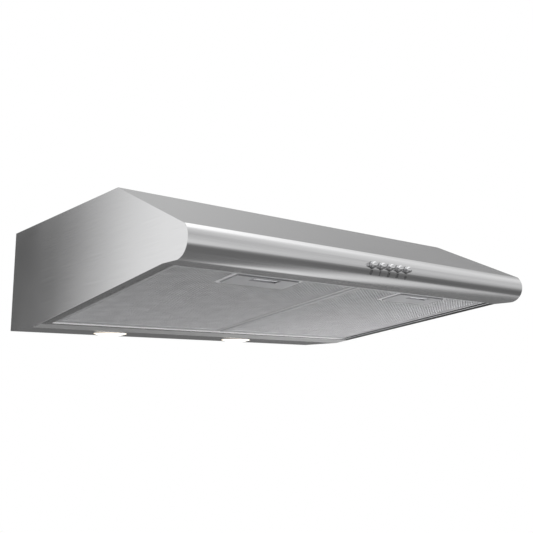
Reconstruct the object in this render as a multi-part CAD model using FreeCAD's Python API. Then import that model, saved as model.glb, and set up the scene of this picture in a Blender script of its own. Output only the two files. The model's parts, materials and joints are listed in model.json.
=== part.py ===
import FreeCAD, Part
import math
import os

from FreeCAD import Vector

# Under-cabinet range hood, millimetres. X runs along the front, -Y is the front, +Z is up.
# The origin is the centre of the four cabinet screw holes, on the outer face of the roof.
# Profile points are written as (depth from the wall, height), with height 0 at the roof.

# Overall shape
WIDTH = 600.0
HEIGHT = 151.3
ROOF_DEPTH = 338.5
NOSE_FRONT = 494.5
NOSE_RADIUS = 21.6
NOSE_BOTTOM = -106.8
CREASE_ANGLE = 45.0
FRONT_STRIP_REAR = 444.5
LAMP_STRIP_DEPTH = 90.0
SHEET = 1.2
ROOF_BEND = 8.0
EDGE_BEND = 2.0
FLANGE = 14.0

# Cabinet screw holes and the duct outlet in the roof
SCREW_CENTRE_DEPTH = 170.0
SCREW_SPACING_X = 520.0
SCREW_SPACING_Y = 200.0
SCREW_HOLE_R = 3.0
DUCT_DEPTH = 95.0
DUCT_R = 60.0
DUCT_WALL = 1.5
DUCT_TOP = 35.0
DUCT_FLANGE_R = 74.0
DUCT_FLANGE = 1.5

# Grease filters, in the plane of the sloping underside
LIP_FROM_BEND = 29.0
LIP_HEIGHT = 9.0
FILTER_REAR = 33.0
FILTER_FRONT_GAP = 2.0
FILTER_OUTER_X = 284.2
FILTER_INNER_X = 1.4
FILTER_RECESS = 2.5
FILTER_THICK = 9.0
FILTER_WALL = 0.8
FILTER_RIM = 8.0
MESH_THICK = 0.4
CORE_SHEETS = 3
HINGE_ROD_R = 1.5
HINGE_TUBE_R = 2.8
HINGE_BORE_R = 1.58
EAR_HOLE_R = 1.52

# Filter latches
LATCH_PLATE_X = 96.0
LATCH_PLATE_V = 36.0
LATCH_PLATE_GAP = 12.0
LATCH_SLOT_X = 42.0
LATCH_SLOT_V = 14.0

# Lamps, in the flat strip at the rear
LAMP_X = (-163.0, 82.0)
LAMP_DEPTH = 57.0
LAMP_HOLE_R = 24.0
LAMP_BEZEL_R = 27.5
LAMP_LENS_R = 22.0

# Push buttons in the nose
BUTTON_NAMES = ("button_off", "button_speed_1", "button_speed_2", "button_speed_3", "button_lamp")
BUTTON_SPACING = 16.0
BUTTON_HEIGHT = -86.3
BUTTON_R = 4.5
BUTTON_TIP = 503.0
BUTTON_HOLE_R = 4.85
SWITCH_FRONT = 472.0

# Blower
FAN_X = 110.0
FAN_DEPTH = 196.0
FAN_R = 70.0
SCROLL_TOP = -8.0
SCROLL_BOTTOM = -86.0
SCROLL_SPLIT = -47.0
SCROLL_WALL = 1.5
SCROLL_RADII = (82.0, 94.0, 106.0, 118.0)
INLET_R = 55.0
CHAMBER_R = 68.0
MOTOR_R = 40.0
MOTOR_TOP = -14.0
MOTOR_BOTTOM = -54.0
SHAFT_R = 3.0
BUSH_BORE_R = 3.05
BLADES = 36
IMPELLER_TOP = SCROLL_TOP - 10.5

# Clearance hole for the small screws inside
SMALL_HOLE_R = 1.7

# Damper, electrics and the wiring's route, as (x, depth, height)
DAMPER_HEIGHT = -2.0
GLAND_X = -215.0
GLAND_HEIGHT = -42.0
GLAND_R = 7.0
GLAND_BORE_R = 4.5
BOX_X = (-240.0, -160.0)
BOX_Z = (-66.0, -20.0)
BOX_FRONT = 46.0
CAPACITOR_X = -170.0
CAPACITOR_DEPTH = 150.0
CAPACITOR_HEIGHT = -22.0
CAPACITOR_R = 16.0
LOOM_R = 3.5
LOOM_BEND = 14.0
LOOM_POINTS = (
    (-159.0, 27.0, -53.0),
    (-120.0, 27.0, -53.0),
    (-120.0, 60.0, -70.0),
    (-120.0, 400.0, -70.0),
    (-60.0, 430.0, -84.0),
    (-60.0, 451.0, -84.0),
)

# Values worked out from the dimensions above
HALF = WIDTH / 2
INNER = HALF - SHEET
ROOF_FRONT = (ROOF_DEPTH, 0.0)
NOSE_CENTRE = (NOSE_FRONT - NOSE_RADIUS, NOSE_BOTTOM + NOSE_RADIUS)
CREASE = (
    NOSE_CENTRE[0] + NOSE_RADIUS * math.cos(math.radians(CREASE_ANGLE)),
    NOSE_CENTRE[1] + NOSE_RADIUS * math.sin(math.radians(CREASE_ANGLE)),
)
NOSE_TANGENT = NOSE_RADIUS * math.tan(math.radians(90 + CREASE_ANGLE) / 2)
NOSE_KNEE = (NOSE_CENTRE[0] + NOSE_TANGENT, NOSE_BOTTOM)
FRONT_STRIP_END = (FRONT_STRIP_REAR, NOSE_BOTTOM)
REAR_BEND = (LAMP_STRIP_DEPTH, -HEIGHT)
SLOPE_RUN = CREASE[0] - ROOF_FRONT[0]
SLOPE_LENGTH = math.hypot(SLOPE_RUN, CREASE[1])
SLOPE = (SLOPE_RUN / SLOPE_LENGTH, CREASE[1] / SLOPE_LENGTH)
SLOPE_INWARD = (SLOPE[1], -SLOPE[0])
UNDER_RUN = FRONT_STRIP_REAR - LAMP_STRIP_DEPTH
UNDER_RISE = NOSE_BOTTOM + HEIGHT
UNDER_LENGTH = math.hypot(UNDER_RUN, UNDER_RISE)
UNDER_TILT = math.degrees(math.atan2(UNDER_RISE, UNDER_RUN))
UNDER = (UNDER_RUN / UNDER_LENGTH, UNDER_RISE / UNDER_LENGTH)
UNDER_UP = (-UNDER[1], UNDER[0])
HINGE_V = FILTER_REAR + 3.0
HINGE_N = FILTER_RECESS + FILTER_THICK / 2
FILTER_FRONT = UNDER_LENGTH - FILTER_FRONT_GAP
FILTER_MIDDLE_X = (FILTER_OUTER_X + FILTER_INNER_X) / 2
BUTTON_X = [(n - 2) * BUTTON_SPACING for n in range(5)]

SIDES = (("left", -1), ("right", 1))


# ---------------------------------------------------------------- helpers

def wall_y(depth):
    """The Y of a point that is this far out from the wall."""
    return SCREW_CENTRE_DEPTH - depth


def at(x, depth, height):
    return Vector(x, wall_y(depth), height)


def save(name, solids):
    """Writes one node. A list of solids becomes one node of separate solids."""
    shape = Part.makeCompound(solids) if isinstance(solids, list) else solids
    shape.exportStep("parts/" + name + ".step")
    print(name, len(shape.Solids), "solids", round(shape.Volume), "mm3", shape.isValid())


def cylinder(radius, length, base, axis):
    return Part.makeCylinder(radius, length, base, axis)


def upright(radius, low, high, x, depth):
    """A vertical cylinder between two heights."""
    return cylinder(radius, high - low, at(x, depth, low), Vector(0, 0, 1))


def inward(radius, front, rear, x, height):
    """A cylinder along Y, from a front depth back to a rear depth."""
    return cylinder(radius, front - rear, at(x, front, height), Vector(0, 1, 0))


def block(x_low, x_high, depth_low, depth_high, low, high):
    """A box between two X values, two depths and two heights."""
    size = (x_high - x_low, depth_high - depth_low, high - low)
    return Part.makeBox(size[0], size[1], size[2], at(x_low, depth_high, low))


def cut_all(shape, tools):
    for tool in tools:
        shape = shape.cut(tool)
    return shape


def fuse_all(shapes):
    first = shapes[0]
    for shape in shapes[1:]:
        first = first.fuse(shape)
    return first.removeSplitter()


def along(start, direction, distance):
    """The profile point that is a distance from start along a direction."""
    return (start[0] + direction[0] * distance, start[1] + direction[1] * distance)


def offset_points(points, distance):
    """The corners of an open path moved sideways, to its right if distance is positive."""
    normals = []
    for a, b in zip(points, points[1:]):
        length = math.hypot(b[0] - a[0], b[1] - a[1])
        normals.append(((b[1] - a[1]) / length, -(b[0] - a[0]) / length))
    moved = [along(points[0], normals[0], distance)]
    for point, n1, n2 in zip(points[1:], normals, normals[1:]):
        scale = distance / (1 + n1[0] * n2[0] + n1[1] * n2[1])
        moved.append(along(point, (n1[0] + n2[0], n1[1] + n2[1]), scale))
    moved.append(along(points[-1], normals[-1], distance))
    return moved


def turns_right(a, b, c):
    return (b[0] - a[0]) * (c[1] - b[1]) - (b[1] - a[1]) * (c[0] - b[0]) < 0


def path_edges(points, radii, x):
    """Edges of an open path in the plane at x, with an arc at each inner corner that has a radius."""
    edges = []
    last = points[0]
    for index, radius in enumerate(radii):
        a, b, c = points[index : index + 3]
        to_a = Vector(a[0] - b[0], a[1] - b[1], 0).normalize()
        to_c = Vector(c[0] - b[0], c[1] - b[1], 0).normalize()
        half_turn = (math.pi - to_a.getAngle(to_c)) / 2
        if radius < 0.01:
            edges.append(Part.makeLine(at(x, *last), at(x, *b)))
            last = b
            continue
        reach = radius * math.tan(half_turn)
        start = along(b, (to_a.x, to_a.y), reach)
        end = along(b, (to_c.x, to_c.y), reach)
        middle = (to_a + to_c).normalize()
        top = along(b, (middle.x, middle.y), radius / math.cos(half_turn) - radius)
        if math.hypot(start[0] - last[0], start[1] - last[1]) > 0.001:
            edges.append(Part.makeLine(at(x, *last), at(x, *start)))
        edges.append(Part.Arc(at(x, *start), at(x, *top), at(x, *end)).toShape())
        last = end
    edges.append(Part.makeLine(at(x, *last), at(x, *points[-1])))
    return edges


def prism(edges, length):
    """A closed profile in a plane of constant X, pushed along X."""
    wire = Part.Wire(Part.__sortEdges__(edges))
    return Part.Face(wire).extrude(Vector(length, 0, 0))


def folded(points, radii, x_low, x_high, thickness=SHEET):
    """Sheet metal bent along a path. The metal lies to the right of the path, or left if negative."""
    inner = offset_points(points, thickness)
    inner_radii = []
    for index, radius in enumerate(radii):
        right = turns_right(*points[index : index + 3])
        change = -thickness if right else thickness
        inner_radii.append(max(radius + change, 0.0) if radius else 0.0)
    edges = path_edges(points, radii, x_low) + path_edges(inner, inner_radii, x_low)
    edges.append(Part.makeLine(at(x_low, *points[0]), at(x_low, *inner[0])))
    edges.append(Part.makeLine(at(x_low, *points[-1]), at(x_low, *inner[-1])))
    return prism(edges, x_high - x_low)


def on_slope(shape):
    """Moves a shape drawn at (x, -distance from the rear bend, height above) into the underside."""
    placed = shape.copy()
    placed.rotate(Vector(0, 0, 0), Vector(1, 0, 0), -UNDER_TILT)
    placed.translate(at(0, *REAR_BEND))
    return placed


def slab(x_low, x_high, v_low, v_high, n_low, n_high):
    """A box in the underside's own directions, before on_slope."""
    corner = Vector(x_low, -v_high, n_low)
    return Part.makeBox(x_high - x_low, v_high - v_low, n_high - n_low, corner)


def screw(base, axis, radius=1.6, length=6.0):
    """A pan-head screw with a cross recess. Its head stands up along axis from base."""
    head = cylinder(radius * 1.9, radius * 1.2, base, axis)
    shank = cylinder(radius, length, base, axis * -1)
    corner = Vector(-radius * 1.1, -radius * 0.25, 0)
    cross = Part.makeBox(radius * 2.2, radius * 0.5, radius, corner)
    cross = cross.fuse(cross.rotated(Vector(0, 0, 0), Vector(0, 0, 1), 90))
    cross.Placement = FreeCAD.Placement(base + axis * radius * 0.5, FreeCAD.Rotation(Vector(0, 0, 1), axis))
    rim = [e for e in head.Edges if (e.CenterOfMass - base).Length > radius]
    return head.makeFillet(radius * 0.4, rim[:1]).fuse(shank).cut(cross)


def spring(radius, wire_radius, length, turns, base, axis):
    """A coil spring that starts at base and runs along axis."""
    pitch = (length - 2 * wire_radius) / turns
    helix = Part.makeHelix(pitch, length - 2 * wire_radius, radius)
    ring = Part.Wire(Part.makeCircle(wire_radius, Vector(radius, 0, 0), Vector(0, 1, 0)))
    coil = Part.Wire(helix).makePipeShell([ring], True, True)
    coil.translate(Vector(0, 0, wire_radius))
    turned = FreeCAD.Placement(base, FreeCAD.Rotation(Vector(0, 0, 1), axis))
    coil.Placement = turned.multiply(coil.Placement)
    return coil


# ---------------------------------------------------------------- canopy

def outline_edges(x):
    """The whole side profile: roof, bonnet, nose, front strip, slope, lamp strip and wall."""
    top = [(0.0, 0.0), ROOF_FRONT, CREASE, NOSE_KNEE]
    points = top + [FRONT_STRIP_END, REAR_BEND, (0.0, -HEIGHT), (0.0, 0.0)]
    return path_edges(points, [ROOF_BEND, 0.0, NOSE_RADIUS, 0.0, 0.0, 0.0], x)


def side_panel(side):
    """An end cheek with an outer skin, weld flanges under the roof and a flange beside the filter."""
    plate = prism(outline_edges(INNER), SHEET)
    outer = [f for f in plate.Faces if abs(f.CenterOfMass.x - HALF) < 0.01]
    plate = plate.makeFillet(0.6, outer[0].Edges)
    under_start = along(REAR_BEND, UNDER, LIP_FROM_BEND + 1.5)
    under = folded([under_start, FRONT_STRIP_END], [], HALF - FLANGE, INNER, -SHEET)
    roof = offset_points([(4.0, 0.0), ROOF_FRONT, along(CREASE, SLOPE, -16.0)], SHEET)
    weld = folded(roof, [ROOF_BEND - SHEET], INNER - FLANGE + 2, INNER)
    back = block(INNER - FLANGE + 2, INNER, SHEET, 2 * SHEET, -HEIGHT + 14, -18)
    panel = fuse_all([plate, under, weld, back])
    if side < 0:
        panel = panel.mirror(Vector(0, 0, 0), Vector(1, 0, 0))
    return panel


def roof_panel():
    """The roof and the sloping bonnet, folded from one sheet, with a down flange at the wall."""
    start = (SHEET, -16.0)
    corner = (SHEET, 0.0)
    end = along(CREASE, SLOPE, -0.1)
    sheet = folded([start, corner, ROOF_FRONT, end], [EDGE_BEND, ROOF_BEND], -INNER, INNER)
    holes = [upright(DUCT_R + DUCT_WALL + 0.3, -5, 5, 0, DUCT_DEPTH)]
    for x in (-SCREW_SPACING_X / 2, SCREW_SPACING_X / 2):
        for depth in (-SCREW_SPACING_Y / 2, SCREW_SPACING_Y / 2):
            holes.append(upright(SCREW_HOLE_R, -5, 5, x, SCREW_CENTRE_DEPTH + depth))
    for x, depth in collar_screw_places():
        holes.append(upright(SMALL_HOLE_R, -5, 5, x, depth))
    return cut_all(sheet, holes + [nose_sheet()])


def rear_panel():
    """The flat sheet against the wall, with the cable gland's hole."""
    sheet = block(-INNER, INNER, 0, SHEET, -HEIGHT, 0)
    return sheet.cut(inward(GLAND_R, 10, -10, GLAND_X, GLAND_HEIGHT))


def nose_sheet():
    """The rolled sheet from the crease, round the nose and back to the latch lip."""
    lip_top = (FRONT_STRIP_REAR, NOSE_BOTTOM + 5.0)
    points = [CREASE, NOSE_KNEE, FRONT_STRIP_END, lip_top]
    return folded(points, [NOSE_RADIUS, EDGE_BEND], -INNER, INNER)


def front_fascia():
    """The rolled nose, with its flat return, latch lip, joint tab and five button holes."""
    tab_start = along(along(CREASE, SLOPE, -15.0), SLOPE_INWARD, SHEET)
    tab_end = along(along(CREASE, SLOPE, 1.5), SLOPE_INWARD, SHEET)
    tab = folded([tab_start, tab_end], [], -INNER + FLANGE, INNER - FLANGE)
    nose = fuse_all([nose_sheet(), tab])
    return cut_all(nose, [inward(BUTTON_HOLE_R, 500, 480, x, BUTTON_HEIGHT) for x in BUTTON_X])


def front_rail():
    """A channel behind the nose that stiffens the front and carries the switch block."""
    low = NOSE_BOTTOM + SHEET
    points = [(469.0, low), (452.0, low), (452.0, -70.0), (464.0, -70.0)]
    rail = folded(points, [EDGE_BEND, EDGE_BEND], -INNER + FLANGE, INNER - FLANGE)
    return cut_all(rail, [inward(SMALL_HOLE_R, 460, 445, x, BUTTON_HEIGHT) for x in (-49, 49)])


def lamp_panel():
    """The rear underside strip: wall flange, lamp holes, short slope, lip and three hinge ears."""
    lip_base = along(REAR_BEND, UNDER, LIP_FROM_BEND)
    lip_top = along(lip_base, UNDER_UP, LIP_HEIGHT)
    points = [(SHEET, -HEIGHT + 12), (SHEET, -HEIGHT), REAR_BEND, lip_base, lip_top]
    sheet = folded(points, [EDGE_BEND, 0.0, EDGE_BEND], -INNER, INNER, -SHEET)
    ears = []
    for x in (-FILTER_OUTER_X - 1.2, 0.0, FILTER_OUTER_X + 1.2):
        ear = slab(x - 0.6, x + 0.6, LIP_FROM_BEND - 1, HINGE_V + 4, HINGE_N - 3.5, LIP_HEIGHT + 2)
        ears.append(on_slope(ear))
    sheet = fuse_all([sheet] + ears)
    rod = on_slope(cylinder(EAR_HOLE_R, WIDTH, Vector(-HALF, -HINGE_V, HINGE_N), Vector(1, 0, 0)))
    holes = [upright(LAMP_HOLE_R, -HEIGHT - 5, -HEIGHT + 5, x, LAMP_DEPTH) for x in LAMP_X]
    return cut_all(sheet, holes + [rod])


def filter_hinge_rod():
    """The rod through the lamp panel's ears that both filters hang and turn on."""
    length = 2 * (FILTER_OUTER_X + 1.75)
    rod = cylinder(HINGE_ROD_R, length, Vector(-length / 2, -HINGE_V, HINGE_N), Vector(1, 0, 0))
    return on_slope(rod)


# ---------------------------------------------------------------- filters

def filter_span(side):
    """The lowest and highest X of the filter on one side."""
    edges = (side * FILTER_INNER_X, side * FILTER_OUTER_X)
    return min(edges), max(edges)


def latch_window(side):
    """The frame cut-out that the latch plate sits in, as X and V limits."""
    middle = side * FILTER_MIDDLE_X
    v_high = FILTER_FRONT - LATCH_PLATE_GAP
    return middle - LATCH_PLATE_X / 2, middle + LATCH_PLATE_X / 2, v_high - LATCH_PLATE_V, v_high


def filter_frame(side):
    """A channel of bent aluminium round the filter, with a hinge tube in its rear edge."""
    x0, x1 = filter_span(side)
    n0, n1 = FILTER_RECESS, FILTER_RECESS + FILTER_THICK
    frame = slab(x0, x1, FILTER_REAR, FILTER_FRONT, n0, n1)
    rim, wall = FILTER_RIM, FILTER_WALL
    window = slab(x0 + rim, x1 - rim, FILTER_REAR + rim, FILTER_FRONT - rim, n0 - 1, n1 + 1)
    channel = (FILTER_REAR + wall, FILTER_FRONT - wall, n0 + wall, n1 - wall)
    frame = frame.cut(window).cut(slab(x0 + wall, x1 - wall, *channel))
    along_x = Vector(1, 0, 0)
    frame = frame.fuse(cylinder(HINGE_TUBE_R, x1 - x0, Vector(x0, -HINGE_V, HINGE_N), along_x))
    frame = frame.cut(cylinder(HINGE_BORE_R, x1 - x0, Vector(x0, -HINGE_V, HINGE_N), along_x))
    middle = side * FILTER_MIDDLE_X
    front = (FILTER_FRONT - 3, FILTER_FRONT + 3)
    tongue_way = slab(middle - 17, middle + 17, *front, HINGE_N - 1.4, HINGE_N + 1.9)
    return on_slope(frame.cut(tongue_way))


def mesh_sheet(side, n_low, thickness):
    """One layer of mesh inside the frame, as a plain sheet with room for the latch plate."""
    x0, x1 = filter_span(side)
    margin = FILTER_WALL + 0.1
    v_low = HINGE_V + HINGE_TUBE_R + 0.3
    sheet = slab(x0 + margin, x1 - margin, v_low, FILTER_FRONT - margin, n_low, n_low + thickness)
    wx0, wx1, wv0, wv1 = latch_window(side)
    window = slab(wx0 - 0.2, wx1 + 0.2, wv0 - 0.2, wv1 + 40, n_low - 1, n_low + thickness + 1)
    beside = (wv0, FILTER_FRONT - margin, n_low, n_low + thickness)
    front_left = slab(x0 + margin, wx0 - 0.2, *beside)
    front_right = slab(wx1 + 0.2, x1 - margin, *beside)
    return on_slope(fuse_all([sheet.cut(window), front_left, front_right]))


def filter_face_mesh(side):
    """The layer that shows from below."""
    return mesh_sheet(side, FILTER_RECESS + FILTER_WALL + 0.05, MESH_THICK)


def filter_core_mesh(side):
    """The layers over the face mesh, spread through the depth of the frame."""
    low = FILTER_RECESS + FILTER_WALL + MESH_THICK + 0.25
    high = FILTER_RECESS + FILTER_THICK - FILTER_WALL - 0.1 - MESH_THICK
    step = (high - low) / CORE_SHEETS
    return [mesh_sheet(side, low + step * (n + 1), MESH_THICK) for n in range(CORE_SHEETS)]


def latch_plate(side):
    """The pressed plate with the finger slot, and the guide walls that the latch slides between."""
    x0, x1, v0, v1 = latch_window(side)
    middle = side * FILTER_MIDDLE_X
    low = FILTER_RECESS - 0.8
    step = FILTER_RECESS + FILTER_WALL + 0.05
    plate = slab(x0, x1, v0, FILTER_FRONT - FILTER_WALL - 0.1, step, HINGE_N - 2.1)
    face = slab(x0 + 0.6, x1 - 0.6, v0 + 0.6, v1, low, step + 0.05)
    face = face.cut(slab(x0, x1, FILTER_FRONT - FILTER_RIM - 0.3, FILTER_FRONT, low - 1, low + 9))
    plate = plate.fuse(face)
    for end, sign in ((x0, 1), (x1, -1)):
        near, far = sorted((end, end + sign * 1.2))
        plate = plate.fuse(slab(near, far, v0, v1, HINGE_N - 2.2, HINGE_N + 3.4))
    plate = plate.fuse(slab(x0, x1, v0, v0 + 1.2, HINGE_N - 2.2, HINGE_N + 3.4))
    slot_x = (middle - LATCH_SLOT_X / 2, middle + LATCH_SLOT_X / 2)
    slot = slab(*slot_x, v1 - LATCH_SLOT_V - 1, v1 - 2, -5, 30)
    return on_slope(plate.cut(slot).removeSplitter())


def latch(side):
    """The sliding tongue that rests on the nose's lip, with a finger tab that shows in the slot."""
    middle = side * FILTER_MIDDLE_X
    v1 = FILTER_FRONT - LATCH_PLATE_GAP
    low = HINGE_N - 1.1
    body = slab(middle - 26, middle + 26, v1 - 24, v1 - 1, low, low + 2.4)
    tongue = slab(middle - 15, middle + 15, v1 - 3, UNDER_LENGTH + 4.0, low, low + 2.4)
    finger = slab(middle - 18, middle + 18, v1 - 8.5, v1 - 6.5, FILTER_RECESS - 0.4, low + 1)
    post = slab(middle - 0.9, middle + 0.9, v1 - 26, v1 - 23.9, HINGE_N - 0.7, HINGE_N + 0.9)
    return on_slope(fuse_all([body, tongue, finger, post]))


def latch_spring(side):
    """The small coil that pushes the latch towards the nose."""
    middle = side * FILTER_MIDDLE_X
    v1 = FILTER_FRONT - LATCH_PLATE_GAP
    start = v1 - LATCH_PLATE_V + 1.2
    length = LATCH_PLATE_V - 1.2 - 24.0
    coil = spring(1.75, 0.3, length - 0.6, 6, Vector(middle, -start - 0.3, HINGE_N + 0.1), Vector(0, -1, 0))
    return on_slope(coil)


# ---------------------------------------------------------------- lamps

def lamp_bezel(x):
    """A turned ring that clips into the lamp panel from below."""
    low = -HEIGHT - 1.0
    ring = upright(LAMP_BEZEL_R, low, -HEIGHT, x, LAMP_DEPTH)
    ring = ring.makeChamfer(0.6, [e for e in ring.Edges if abs(e.CenterOfMass.z - low) < 0.01])
    collar = upright(LAMP_HOLE_R - 0.2, low, -HEIGHT + 8, x, LAMP_DEPTH)
    ring = ring.fuse(collar)
    ring = ring.cut(upright(LAMP_LENS_R - 1.5, low - 1, 0, x, LAMP_DEPTH))
    return ring.cut(upright(LAMP_LENS_R, low + 0.9, 0, x, LAMP_DEPTH))


def lamp_lens(x):
    """The glass disc that sits on the bezel's ledge."""
    return upright(LAMP_LENS_R - 0.15, -HEIGHT - 0.1, -HEIGHT + 1.9, x, LAMP_DEPTH)


def lamp_housing(x):
    """The reflector cup over the lens, with a flange on the lamp panel."""
    low, high = -HEIGHT + 8.2, -HEIGHT + 30
    flange = upright(LAMP_HOLE_R + 5, -HEIGHT + SHEET, -HEIGHT + SHEET + 1, x, LAMP_DEPTH)
    wall = upright(LAMP_HOLE_R + 1.5, -HEIGHT + SHEET, high, x, LAMP_DEPTH)
    cup = flange.fuse(wall)
    cup = cup.cut(upright(LAMP_HOLE_R + 0.3, -HEIGHT, low, x, LAMP_DEPTH))
    base = at(x, LAMP_DEPTH, low - 0.5)
    cone = Part.makeCone(LAMP_HOLE_R - 1, 9, high - low - 1.5, base, Vector(0, 0, 1))
    socket = upright(9.5, high - 0.5, high + 12, x, LAMP_DEPTH)
    cup = cup.cut(cone).fuse(socket)
    return cup.cut(upright(7.2, low, high + 9, x, LAMP_DEPTH))


def lamp_bulb(x):
    """The capsule lamp that stands in the housing's socket."""
    top = -HEIGHT + 39
    bulb = upright(6.8, top - 14, top, x, LAMP_DEPTH)
    glass = upright(5.5, top - 24, top - 13, x, LAMP_DEPTH)
    tip = Part.makeSphere(5.5, at(x, LAMP_DEPTH, top - 24))
    return fuse_all([bulb, glass, tip])


# ---------------------------------------------------------------- controls

def button(x):
    """A bullet-shaped push button: domed cap, retaining collar and stem."""
    dome_base = BUTTON_TIP - BUTTON_R
    cap = inward(BUTTON_R, dome_base, 490, x, BUTTON_HEIGHT)
    dome = Part.makeSphere(BUTTON_R, at(x, dome_base, BUTTON_HEIGHT))
    collar = inward(BUTTON_R + 1.3, 490.5, 489, x, BUTTON_HEIGHT)
    stem = inward(2.8, 490, 466, x, BUTTON_HEIGHT)
    return fuse_all([cap, dome, collar, stem])


def switch_block():
    """The moulded body that the button stems slide in, with screw ears and blade terminals."""
    rear = 452.0 + SHEET
    body = block(-43, 43, rear, SWITCH_FRONT, -96, -77)
    ears = block(-54, 54, rear, rear + 3, -92, -81)
    body = body.fuse(ears)
    for x in (-49, 49):
        body = body.cut(inward(1.7, rear + 9, rear - 1, x, BUTTON_HEIGHT))
    for x in BUTTON_X:
        body = body.cut(inward(3.1, SWITCH_FRONT + 1, 458, x, BUTTON_HEIGHT))
        for shift in (-4, 4):
            body = body.fuse(block(x + shift - 1.2, x + shift + 1.2, 462, 462.8, -102, -95.5))
    return body.removeSplitter()


def button_springs():
    """Five return coils between the switch block and the buttons' collars."""
    length = 489 - SWITCH_FRONT - 0.2
    return [
        spring(3.75, 0.4, length, 6, at(x, SWITCH_FRONT + 0.1, BUTTON_HEIGHT), Vector(0, -1, 0))
        for x in BUTTON_X
    ]


# ---------------------------------------------------------------- blower

def scroll_body(inset, low, high):
    """The volute: four quarter discs of growing radius, a duct and the outlet chamber."""
    height = high - low
    steps = list(SCROLL_RADII)
    shapes = []
    for quarter, radius in enumerate(steps):
        wedge = Part.makeCylinder(radius - inset, height, at(FAN_X, FAN_DEPTH, low), Vector(0, 0, 1), 90)
        wedge.rotate(at(FAN_X, FAN_DEPTH, 0), Vector(0, 0, 1), 180 + 90 * quarter)
        shapes.append(wedge)
    duct_rear = FAN_DEPTH - steps[-1] + inset
    duct_front = FAN_DEPTH - 45.0
    shapes.append(block(0, FAN_X, duct_rear, duct_front, low, high))
    shapes.append(upright(CHAMBER_R - inset, low, high, 0, DUCT_DEPTH))
    shapes.append(upright(steps[0] - inset, low, high, FAN_X, FAN_DEPTH))
    return fuse_all(shapes)


def blower_housing(upper):
    """One half of the volute: a roof or a floor, and half of the side wall."""
    low, high = (SCROLL_SPLIT, SCROLL_TOP) if upper else (SCROLL_BOTTOM, SCROLL_SPLIT)
    outer = scroll_body(0.0, low, high)
    shift = -SCROLL_WALL if upper else SCROLL_WALL
    inner = scroll_body(SCROLL_WALL, low + shift, high + shift)
    half = outer.cut(inner)
    rim_low = SCROLL_SPLIT if upper else SCROLL_SPLIT - 2
    rim = scroll_body(-4.0, rim_low, rim_low + 2).cut(scroll_body(0.5, rim_low, rim_low + 2))
    half = half.fuse(rim)
    if upper:
        half = half.cut(upright(DUCT_R + DUCT_WALL + 0.3, SCROLL_TOP - 5, 0, 0, DUCT_DEPTH))
        for x, depth in fan_screw_places():
            half = half.cut(upright(4.2, SCROLL_TOP - 5, 0, x, depth))
    else:
        ring = upright(INLET_R + 5, SCROLL_BOTTOM, SCROLL_BOTTOM + 5, FAN_X, FAN_DEPTH)
        half = half.fuse(ring)
        half = half.cut(upright(INLET_R, SCROLL_BOTTOM - 1, SCROLL_BOTTOM + 6, FAN_X, FAN_DEPTH))
    return half.removeSplitter()


def fan_screw_places():
    """Three places round the motor, as (x, depth)."""
    radius = 30.0
    angles = [math.radians(90 + 120 * n) for n in range(3)]
    return [(FAN_X + radius * math.cos(a), FAN_DEPTH + radius * math.sin(a)) for a in angles]


def motor_mounts():
    """Rubber grommets in the volute's roof that keep the motor's hum out of the canopy."""
    grommets = []
    for x, depth in fan_screw_places():
        roof = SCROLL_TOP
        grommet = upright(4.2, roof - SCROLL_WALL, roof, x, depth)
        grommet = grommet.fuse(upright(6.5, roof, roof + 2.2, x, depth))
        grommet = grommet.fuse(upright(6.5, roof - SCROLL_WALL - 2, roof - SCROLL_WALL, x, depth))
        grommets.append(grommet.cut(upright(2.1, -30, 5, x, depth)).removeSplitter())
    return grommets


def motor_bracket():
    """A three-armed plate under the volute's roof that the motor hangs from."""
    top = SCROLL_TOP - SCROLL_WALL - 2
    low = MOTOR_TOP
    plate = upright(20, low, top, FAN_X, FAN_DEPTH)
    for x, depth in fan_screw_places():
        plate = plate.fuse(upright(8, low, top, x, depth))
        arm = block(-6, 6, 0, 30, low, top)
        angle = math.degrees(math.atan2(-(depth - FAN_DEPTH), x - FAN_X))
        arm.translate(Vector(0, wall_y(FAN_DEPTH) - wall_y(0), 0))
        arm.rotate(at(0, FAN_DEPTH, 0), Vector(0, 0, 1), angle + 90)
        arm.translate(Vector(FAN_X, 0, 0))
        plate = plate.fuse(arm)
        plate = plate.cut(upright(1.7, low - 1, top + 1, x, depth))
    return plate.cut(upright(10, low - 1, top + 1, FAN_X, FAN_DEPTH)).removeSplitter()


def motor_housing():
    """The pressed can round the stator, with a boss at each end for a bush."""
    can = upright(MOTOR_R, MOTOR_BOTTOM, MOTOR_TOP, FAN_X, FAN_DEPTH)
    can = can.makeFillet(2.0, [e for e in can.Edges if abs(e.CenterOfMass.z - MOTOR_BOTTOM) < 0.01])
    can = can.cut(upright(MOTOR_R - 1.5, MOTOR_BOTTOM + 1.5, MOTOR_TOP - 1.5, FAN_X, FAN_DEPTH))
    can = can.fuse(upright(9, MOTOR_BOTTOM, MOTOR_BOTTOM + 8, FAN_X, FAN_DEPTH))
    can = can.fuse(upright(9, MOTOR_TOP - 8, MOTOR_TOP, FAN_X, FAN_DEPTH))
    vents = []
    for n in range(8):
        vent = block(-3, 3, 0, MOTOR_R + 5, MOTOR_BOTTOM + 12, MOTOR_TOP - 10)
        vent.translate(Vector(FAN_X, wall_y(FAN_DEPTH) - wall_y(0), 0))
        vent.rotate(at(FAN_X, FAN_DEPTH, 0), Vector(0, 0, 1), 45 * n)
        vents.append(vent.cut(upright(MOTOR_R - 3, -60, 0, FAN_X, FAN_DEPTH)))
    can = cut_all(can, vents)
    return can.cut(upright(6, MOTOR_BOTTOM - 1, MOTOR_TOP + 1, FAN_X, FAN_DEPTH)).removeSplitter()


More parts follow.
